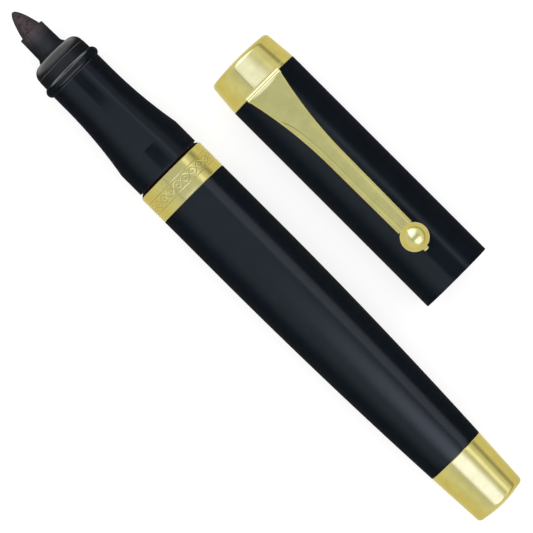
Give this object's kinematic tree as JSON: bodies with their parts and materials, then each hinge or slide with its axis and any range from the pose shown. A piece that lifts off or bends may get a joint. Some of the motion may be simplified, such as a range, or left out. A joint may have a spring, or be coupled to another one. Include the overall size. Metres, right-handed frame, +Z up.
{
  "type": "brush pen",
  "caption": "Refillable marker pen with a felt nib, a waisted grip section that unscrews, a tapered lacquered barrel, and a push-on cap with a sprung ball-end clip.",
  "frame": {"origin": "on the pen's axis, at the middle of the cylindrical cap seat on the front section", "axes": "+X along the pen from its nib towards its tail, +Y sideways towards the cap, +Z up from the surface that both lie on"},
  "size_m": [0.1299, 0.0389, 0.0209],
  "materials": {
    "felt": "dense ink-stained felt",
    "collar_plastic": "satin moulded plastic with ink stains at the front",
    "nose_plastic": "satin moulded plastic",
    "black_resin": "polished black resin",
    "thread_brass": "turned brass",
    "black_rubber": "matt black rubber",
    "refill_plastic": "white moulded plastic",
    "reservoir_fibre": "ink-soaked polyester fibre",
    "wrap_film": "thin polypropylene film",
    "plug_plastic": "grey moulded plastic",
    "spring_steel": "drawn spring wire",
    "black_lacquer": "high-gloss black lacquer over brass",
    "bush_black": "black plated metal",
    "gold_band": null,
    "gold_plate": "polished gold plate",
    "plug_brass": "turned brass",
    "gold_clip": "polished gold plate",
    "liner_plastic": "black moulded plastic",
    "seal_elastomer": "soft grey-black elastomer",
    "screw_steel": "turned steel"
  },
  "bodies": {
    "barrel": {"barrel_tube": "black_lacquer", "barrel_bush": "bush_black", "trim_band": "gold_band", "tail_cap": "gold_plate", "tail_plug": "plug_brass", "refill_spring": "spring_steel"},
    "refill": {"cartridge_tube": "refill_plastic", "nib_holder": "collar_plastic", "felt_nib": "felt", "ink_reservoir": "reservoir_fibre", "reservoir_wrap": "wrap_film", "cartridge_plug": "plug_plastic"},
    "section": {"grip_section": "black_resin", "section_liner": "thread_brass", "front_ferrule": "nose_plastic", "section_o_ring": "black_rubber"},
    "cap": {"cap_tube": "black_lacquer", "cap_crown": "gold_plate", "clip_ring": "gold_clip", "cap_liner": "liner_plastic", "seal_cup": "seal_elastomer", "crown_screw": "screw_steel", "lock_washer": "screw_steel"},
    "clip": {"clip_arm": "gold_clip", "clip_ball": "gold_clip"}
  },
  "joints": [
    {"name": "refill_advance", "type": "slide", "parent": "barrel", "child": "refill", "axis": [-1, 0, 0], "range_m": [0, 0.006], "deforming": ["refill_spring"]},
    {"name": "section_unscrew", "type": "hinge", "parent": "refill", "child": "section", "pos_m": [0, 0, 0], "axis": [-1, 0, 0], "range_deg": [0, 2161]},
    {"name": "cap_slide", "type": "slide", "parent": "barrel", "child": "cap", "axis": [-1, 0, 0], "range_m": [0, 0.095]},
    {"name": "clip_flex", "type": "hinge", "parent": "cap", "child": "clip", "pos_m": [0.00435, 0.02338, 0.00873], "axis": [0, -0.9993, -0.0366], "range_deg": [0, 3.5], "stiffness_Nm_per_rad": 2}
  ],
  "couplings": [
    {"joint": "section_unscrew", "follows": "refill_advance", "rad_per_m": 6283.2}
  ]
}
